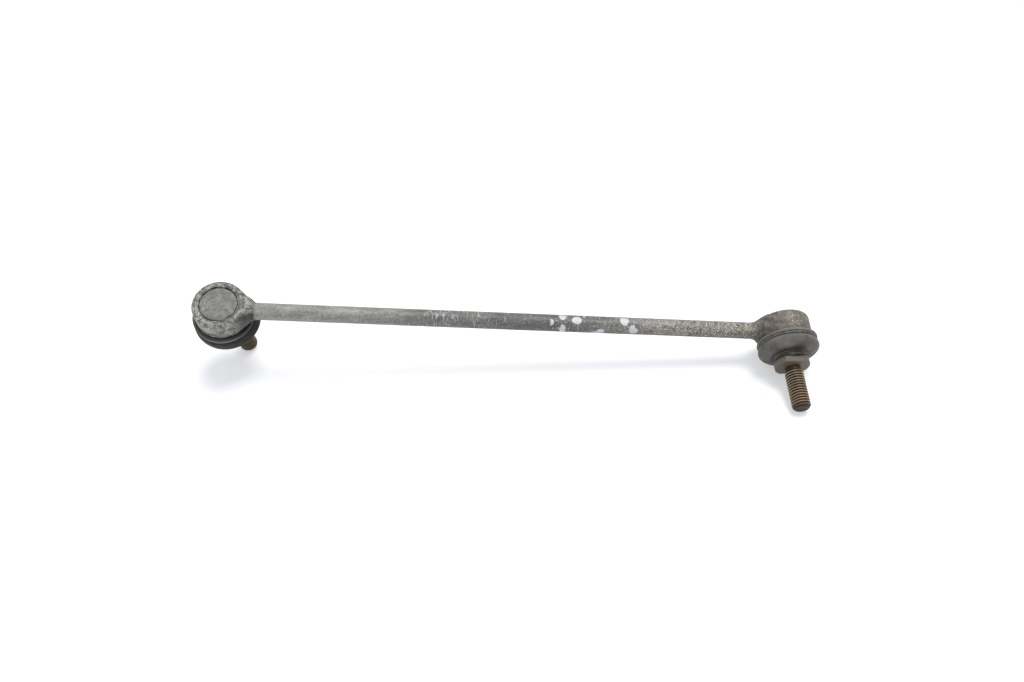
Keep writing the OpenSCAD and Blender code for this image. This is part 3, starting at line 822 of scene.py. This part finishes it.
# %% Weld
WELD = [(ROD_R, 0, 0), (5.15, 0, 0), (5.1, 0.4, 0.2), (4.95, 1.1, 0.3), (ROD_R, 1.6, 0)]
WELD_RIPPLE = 0.035


def weld_dirt_and_shade(side, co):
    """Dirt all round the bead's root, and the neck's dirt and painted shade, which go on over it."""
    root = 0.2 * fade(1.0 - co.z, 0, 0.8)
    dirt_and_shade_by_neck = NECK_DIRT_AND_SHADE[side] * fade(co.x - SLANT * co.y, -4, 1) * fade(1.3 - co.z, 0, 0.6)
    return max(root, dirt_and_shade_by_neck)


for side in joint:
    bm = turned(eased(WELD, 3), steps=72, closed=True)
    for v in bm.verts:
        if radius(v.co) > ROD_R + 0.05:
            v.co.xy *= 1 - WELD_RIPPLE * ripple(v.co, 0.9)
    mark(bm, "dirt_and_shade", lambda co: weld_dirt_and_shade(side, co))
    place = rod_axis[side] @ shift((NECK_LENGTH, 0, 0)) @ turn(90, "Y")
    bead = make_piece(side + "_weld_bead", bm, place, weld_finish)
    stand_for(bead, side + "_weld", "link")

# %% [markdown]
# ## Ball studs
# A stud is turned from one bar: the ball, a neck, the barrel that the boot grips,
# a collar with two flats for a spanner, and a rolled M10 thread.
# A screw modifier could wind the thread, but spin does it in the same mesh: with an offset at each step,
# one pitch of the outline climbs as it turns, and each turn meets the next.
# Two planes cut it to length, and the tip's chamfer presses its points in.

# %% Thread
PITCH, CREST_R, ROOT_R, THREAD_STEPS = 1.5, 4.98, 4.1, 48
ROOT_FLAT, FLANK, CREST_FLAT = 0.25, 0.3125, 0.125  # shares of the pitch
COLLAR_TOP, COLLAR_END, RELIEF_END, TIP = -14.6, -18.0, -20.6, -42.6
RELIEF_R, TIP_R = 4.05, 3.7


def thread_limit(z):
    """The largest radius of the thread at this height: the tip's chamfer and the run-out at the relief."""
    chamfer = TIP_R + (z - TIP)
    run_out = RELIEF_R + fade(RELIEF_END - z, -0.2, 1.2) * (CREST_R - RELIEF_R)
    return min(chamfer, run_out)


def thread():
    bm = bmesh.new()
    steps = [k / 4 for k in range(5)]
    fall = ROOT_FLAT + FLANK + CREST_FLAT
    rise = [(ROOT_R + k * (CREST_R - ROOT_R), ROOT_FLAT + FLANK * k) for k in steps]
    drop = [(CREST_R + k * (ROOT_R - CREST_R), fall + FLANK * k) for k in steps]
    start = TIP - 2 * PITCH
    turns = math.ceil((COLLAR_END - start) / PITCH) + 1
    verts = [bm.verts.new((r, 0, start + share * PITCH)) for r, share in [(ROOT_R, 0), *rise, *drop]]
    edges = [bm.edges.new(pair) for pair in zip(verts, verts[1:])]
    bmesh.ops.spin(
        bm,
        geom=verts + edges,
        cent=(0, 0, 0),
        axis=(0, 0, 1),
        dvec=(0, 0, PITCH / THREAD_STEPS),
        angle=math.tau * turns,
        steps=THREAD_STEPS * turns,
    )
    bmesh.ops.remove_doubles(bm, verts=bm.verts, dist=1e-3)
    for z, cut in ((TIP, "clear_inner"), (COLLAR_END + 0.3, "clear_outer")):
        parts = bm.verts[:] + bm.edges[:] + bm.faces[:]
        bmesh.ops.bisect_plane(bm, geom=parts, dist=1e-5, plane_co=(0, 0, z), plane_no=(0, 0, 1), **{cut: True})
    for v in bm.verts:
        r = radius(v.co)
        v.co.xy *= min(r, thread_limit(v.co.z)) / r
    bmesh.ops.holes_fill(bm, edges=[e for e in bm.edges if e.is_boundary])
    bmesh.ops.recalc_face_normals(bm, faces=bm.faces)
    return bm


print("thread:", round((RELIEF_END - TIP) / PITCH, 1), "turns")

# %% Ball, shank and collar
BALL_R, BALL_STEPS, COLLAR_R, FLATS = 8.0, 40, 9.4, 15.0
STUD_NECK_R, STUD_NECK_END = 4.4, -9.0
BARREL_R, BARREL_TOP, BARREL_END = 6.4, -10.6, -15.2
NECK_Z = -math.sqrt(BALL_R**2 - STUD_NECK_R**2)
angles = [k / BALL_STEPS * math.acos(NECK_Z / BALL_R) for k in range(BALL_STEPS + 1)]
ball_arc = [(BALL_R * math.sin(a), BALL_R * math.cos(a)) for a in angles]
SHANK = eased(
    [
        (STUD_NECK_R, NECK_Z, 0.4),
        (STUD_NECK_R, STUD_NECK_END, 0.6),
        (BARREL_R, BARREL_TOP, 0.4),
        (BARREL_R, BARREL_END, 0),
        (0, BARREL_END, 0),
    ]
)


def collar():
    top, foot = (COLLAR_R, COLLAR_TOP, 0.4), (COLLAR_R, COLLAR_END, 0.7)
    bm = turned(eased([(0, COLLAR_TOP, 0), top, foot, (0, COLLAR_END, 0)]))
    for way in (1, -1):
        parts = bm.verts[:] + bm.edges[:] + bm.faces[:]
        bmesh.ops.bisect_plane(
            bm, geom=parts, dist=1e-4, plane_co=(0, way * FLATS / 2, 0), plane_no=(0, way, 0), clear_outer=True
        )
        bmesh.ops.holes_fill(bm, edges=[e for e in bm.edges if e.is_boundary])
    edges = [e for e in bm.edges if any(abs(abs(f.normal.y) - 1) < 1e-4 for f in e.link_faces)]
    bmesh.ops.bevel(
        bm, geom=edges, offset=0.12, segments=2, affect="EDGES", profile=0.5, material=-1, clamp_overlap=True
    )
    bmesh.ops.recalc_face_normals(bm, faces=bm.faces)
    return bm


def joined(*parts):
    """Several meshes as one."""
    whole = bmesh.new()
    for part in parts:
        mesh = bpy.data.meshes.new("part")
        part.to_mesh(mesh)
        part.free()
        whole.from_mesh(mesh)
        bpy.data.meshes.remove(mesh)
    return whole


# %% Studs
# Tip darkening: the upright stud's own dark tip, and painted shade on the lying stud's chamfer
TIP_DARKENING, TIP_FROM = {"left": 0.7, "right": 0.92}, {"left": -30, "right": -40}
RUST = {"left": 0, "right": 1}


def stud_dirt_and_shade(side, co):
    """Dirt and painted shade in the thread's roots, a darker tip, and painted shade above the collar, under the
    boot.
    """
    roots = 0.85 * fade(4.8 - radius(co), 0, 0.5) * fade(COLLAR_END - co.z, 0, 0.4)
    tip = TIP_DARKENING[side] * fade(TIP_FROM[side] - co.z, 0, 2)
    barrel = 0.35 * fade(co.z, COLLAR_TOP - 0.5, COLLAR_TOP)
    return max(roots, tip, barrel)


for side in joint:
    bm = joined(turned(ball_arc[:-1] + [tuple(p) for p in SHANK]), collar(), thread())
    mark(bm, "dirt_and_shade", lambda co: stud_dirt_and_shade(side, co))
    mark(bm, "rust", lambda co: RUST[side] * fade(-33 - co.z, 0, 4) * fade(co.z, -41, -38))
    # Crests: rubbed pale, with painted highlights on them
    mark(bm, "crest_wear_and_glint", lambda co: 0.7 * fade(radius(co), 4.72, CREST_R) * fade(COLLAR_END - co.z, 0, 1))
    mark(bm, "bare", lambda co: fade(co.z, COLLAR_END - 0.6, COLLAR_END) * 0.8)
    stud = make_piece(side + "_stud", bm, joint[side] @ leaning(side), stud_finish)
    stand_for(stud, side + "_ball_stud", side + "_stud")

# %% [markdown]
# ## Boots
# A boot is a hollow ring of rubber, clamped to the housing's seat at the top and to the stud's barrel below.
# It has to bend two ways: along the rod, where it goes from the housing to the boot's own body, and across it,
# where it goes on to the clamp ring's body. One piece can bend between two bodies only,
# so the boot is cut in two at a fine moulded line under its bulge.
# Each ring of both halves is leaned by its share of the stud's lean, and at the line both agree.

# %% Boot sizes
CUFF_R, LIP_R, GROOVE_R = 12.65, 16.3, 14.5
BOOT_TOP, GROOVE_TOP, GROOVE_END, SEAT_END = -1.92, -3.37, -4.87, -5.85
SLEEVE_IN, SLEEVE_OUT, SLEEVE_END, WALL = 6.45, 8.2, -14.52, 1.8
SLEEVE_DROP, GRIP_TOP = 0.7, -13.0
# Widest radius, underside, and the height where it is widest
BOOTS = {"left": (17.4, -12.3, -8.9), "right": (16.38, -11.1, -7.2)}
WIDEST_SHARE = 0.34  # of the way down, in the list of the outside
LIP = [
    (CUFF_R, BOOT_TOP, 0.2),
    (LIP_R, BOOT_TOP, 0.45),
    (LIP_R - 0.1, GROOVE_TOP, 0.3),
    (GROOVE_R, GROOVE_TOP, 0.15),
    (GROOVE_R, GROOVE_END, 0.1),
]
SLEEVE = [(SLEEVE_OUT, SLEEVE_END, 0.25), (SLEEVE_IN, SLEEVE_END, 0.2)]
# Radius against the widest, share of the way down, and for the inside how many walls higher
OUTSIDE = [(-0.9, 0.03), (-0.2, 0.17), (0, 0.34), (-0.35, 0.52), (-1.3, 0.7), (-2.9, 0.85), (-5, 0.95)]
INSIDE_WALL = [
    (-6.4, 0.95, 1.0),
    (-4.0, 0.78, 0.7),
    (-2.6, 0.6, 0.35),
    (-1.95, 0.42, 0),
    (-1.9, 0.28, 0),
    (-2.5, 0.12, -0.2),
]
print("boot:", len(OUTSIDE), "stations outside and", len(INSIDE_WALL), "inside")


# %% Boot outline
def smooth(points, steps=6):
    """A curve through the points: each step is a share of the way between two, led by their neighbours."""
    curve = []
    for i in range(len(points) - 1):
        a, b, c, d = (Vector(points[min(max(i + k, 0), len(points) - 1)]) for k in (-1, 0, 1, 2))
        for t in (k / steps for k in range(steps)):
            curve.append(b + 0.5 * t * (c - a + t * (2 * a - 5 * b + 4 * c - d + t * (3 * (b - c) + d - a))))
    return curve + [Vector(points[-1])]


def boot_depth(side):
    """How deep the bulge is, and the power that brings its widest ring to its height."""
    _, under, widest = BOOTS[side]
    deep = under - GROOVE_END
    return deep, math.log((widest - GROOVE_END) / deep) / math.log(WIDEST_SHARE)


def boot_outline(side):
    wide, under, _ = BOOTS[side]
    deep, low = boot_depth(side)

    def level(share):
        return GROOVE_END + deep * share**low

    outside = [(wide + dr, level(share)) for dr, share in OUTSIDE]
    outside += [(SLEEVE_OUT + 1.2, under), (SLEEVE_OUT, under - SLEEVE_DROP)]
    inside = [(SLEEVE_IN, GRIP_TOP), (SLEEVE_IN + 0.6, GRIP_TOP + 0.8), (SLEEVE_IN + 1.8, under + 0.3)]
    inside += [(wide + dr, level(share) + up * WALL) for dr, share, up in INSIDE_WALL]
    lip = eased([SLEEVE[1], *LIP, (*outside[0], 0)], 6)[1:-1]
    sleeve = eased([(*outside[-1], 0), *SLEEVE, (*inside[0], 0)], 6)[1:-1]
    return lip + smooth(outside) + sleeve + smooth(inside) + [Vector((CUFF_R, SEAT_END))]


def follow(side, z):
    """How far a ring of the boot at this height has gone with the stud: evenly at first, the last bit late."""
    under = BOOTS[side][1]
    deep, low = boot_depth(side)
    t = fade(GROOVE_END - z, 0, -deep) ** (1 / low)
    return 0.82 * t + 0.13 * t**6 + 0.05 * fade(under - z, 0, SLEEVE_DROP)


# %% Boot dirt and painted shade
GROOVE_DIRT = {"left": 0.6, "right": 0.0}
# A pale lip: dust over the lying boot's groove, a painted highlight along the upright boot's ridge
LIP_DUST_AND_HIGHLIGHT = {"left": (0.55, 1.0, -3.5), "right": (0.45, 3.0, -5.8)}  # share, way in from the lip, lowest height
# Painted shade on the lying boot: away from the rod, low down, and in a patch above the collar
BOOT_SHADE = {"left": 0, "right": 1}


def boot_dirt_and_shade(side, co):
    """Painted shade under the housing's rim and round the sleeve, dirt in the clamp's groove, dirt and shade by the
    rod, and painted shade on the lying boot.
    """
    r = radius(co)
    cuff = 0.9 * fade(15.3 - r, 0, 0.7) * fade(co.z, -2.6, -2.1)
    groove = GROOVE_DIRT[side] * fade(LIP_R - 0.6 - r, 0, 0.6) * fade(-3.0 - co.z, 0, 0.4)
    groove = groove * fade(co.z, -5.3, -4.7)
    sleeve = 0.75 * fade(11.6 - r, 0, 2.6) * fade(co.z, -13.4, -12.6) * fade(-9.5 - co.z, 0, 1)
    by_rod = 0.8 * NECK_DIRT_AND_SHADE[side] * fade(co.x, 5, 13)
    side_shade = 0.2 * fade(-co.x, 2, 15) * fade(-5 - co.z, 0, 2)
    shade_patch = 0.75 * fade(6.5 - math.hypot(co.x + 2, co.y - 9), 0, 4) * fade(-6 - co.z, 0, 2)
    return max(cuff, groove, sleeve, by_rod, BOOT_SHADE[side] * max(side_shade, shade_patch))


def boot_dust_and_highlight(side, co):
    """Dust on the lying boot's lip, and a painted highlight along the upright boot's lip ridge."""
    share, inset, low = LIP_DUST_AND_HIGHLIGHT[side]
    return share * fade(radius(co), LIP_R - inset, LIP_R - inset + 0.8) * fade(co.z, low, low + 0.5)


# %% Boots
SEAM_RISE = {"left": 1.9, "right": 1.6}  # of the moulded line above the underside
BEND_DROP = {"left": 0.9, "right": 0.0}  # of the first bend below the clamp's groove


def half_boot(side, upper, seam_z):
    bm = turned(boot_outline(side), closed=True)
    parts = bm.verts[:] + bm.edges[:] + bm.faces[:]
    keep = {"clear_inner": True} if upper else {"clear_outer": True}
    bmesh.ops.bisect_plane(bm, geom=parts, dist=1e-4, plane_co=(0, 0, seam_z), plane_no=(0, 0, 1), **keep)
    bmesh.ops.bridge_loops(bm, edges=[e for e in bm.edges if e.is_boundary])
    bmesh.ops.recalc_face_normals(bm, faces=bm.faces)
    mark(bm, "dirt_and_shade", lambda co: boot_dirt_and_shade(side, co))
    mark(bm, "dust", lambda co: boot_dust_and_highlight(side, co))
    for v in bm.verts:
        v.co = leaning(side, follow(side, v.co.z)) @ v.co
    return bm


def at(side, z, share):
    return joint[side] @ leaning(side, share) @ Vector((0, 0, z))


for side in joint:
    seam_z = BOOTS[side][1] + SEAM_RISE[side]
    seam = follow(side, seam_z)
    bend_from = GROOVE_END - BEND_DROP[side]
    upper = make_piece(side + "_boot_bulge", half_boot(side, True, seam_z), joint[side], rubber[side])
    stand_for(upper, side + "_boot", None)
    at(side, bend_from, seam)
    at(side, seam_z + 0.1, seam)
    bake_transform(upper)
    lower = make_piece(side + "_boot_sleeve", half_boot(side, False, seam_z), joint[side], rubber[side])
    stand_for(lower, side + "_boot", None)
    at(side, seam_z - 0.05, seam)
    at(side, GRIP_TOP + 0.7, seam)
    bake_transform(lower)

# %% [markdown]
# ## Pieces that keep their solids
# The clamp wires and the bearing shells could be turned again too.
# They are right as they were drawn and mostly hidden, so they get their finish only.

# %% Wires and shells
for side in joint:
    for node, finish in (
        ("band", band_finish[side]),
        ("ring", ring_finish),
        ("upper_shell", acetal),
        ("lower_shell", acetal),
    ):
        mesh = frame["nodes"][side + "_" + node].data
        mesh.materials.clear()
        mesh.materials.append(finish)
print("kept as drawn: 4 wires and 4 shells")

# %% [markdown]
# ## Finish

# %% Finish
bpy.context.view_layer.update()
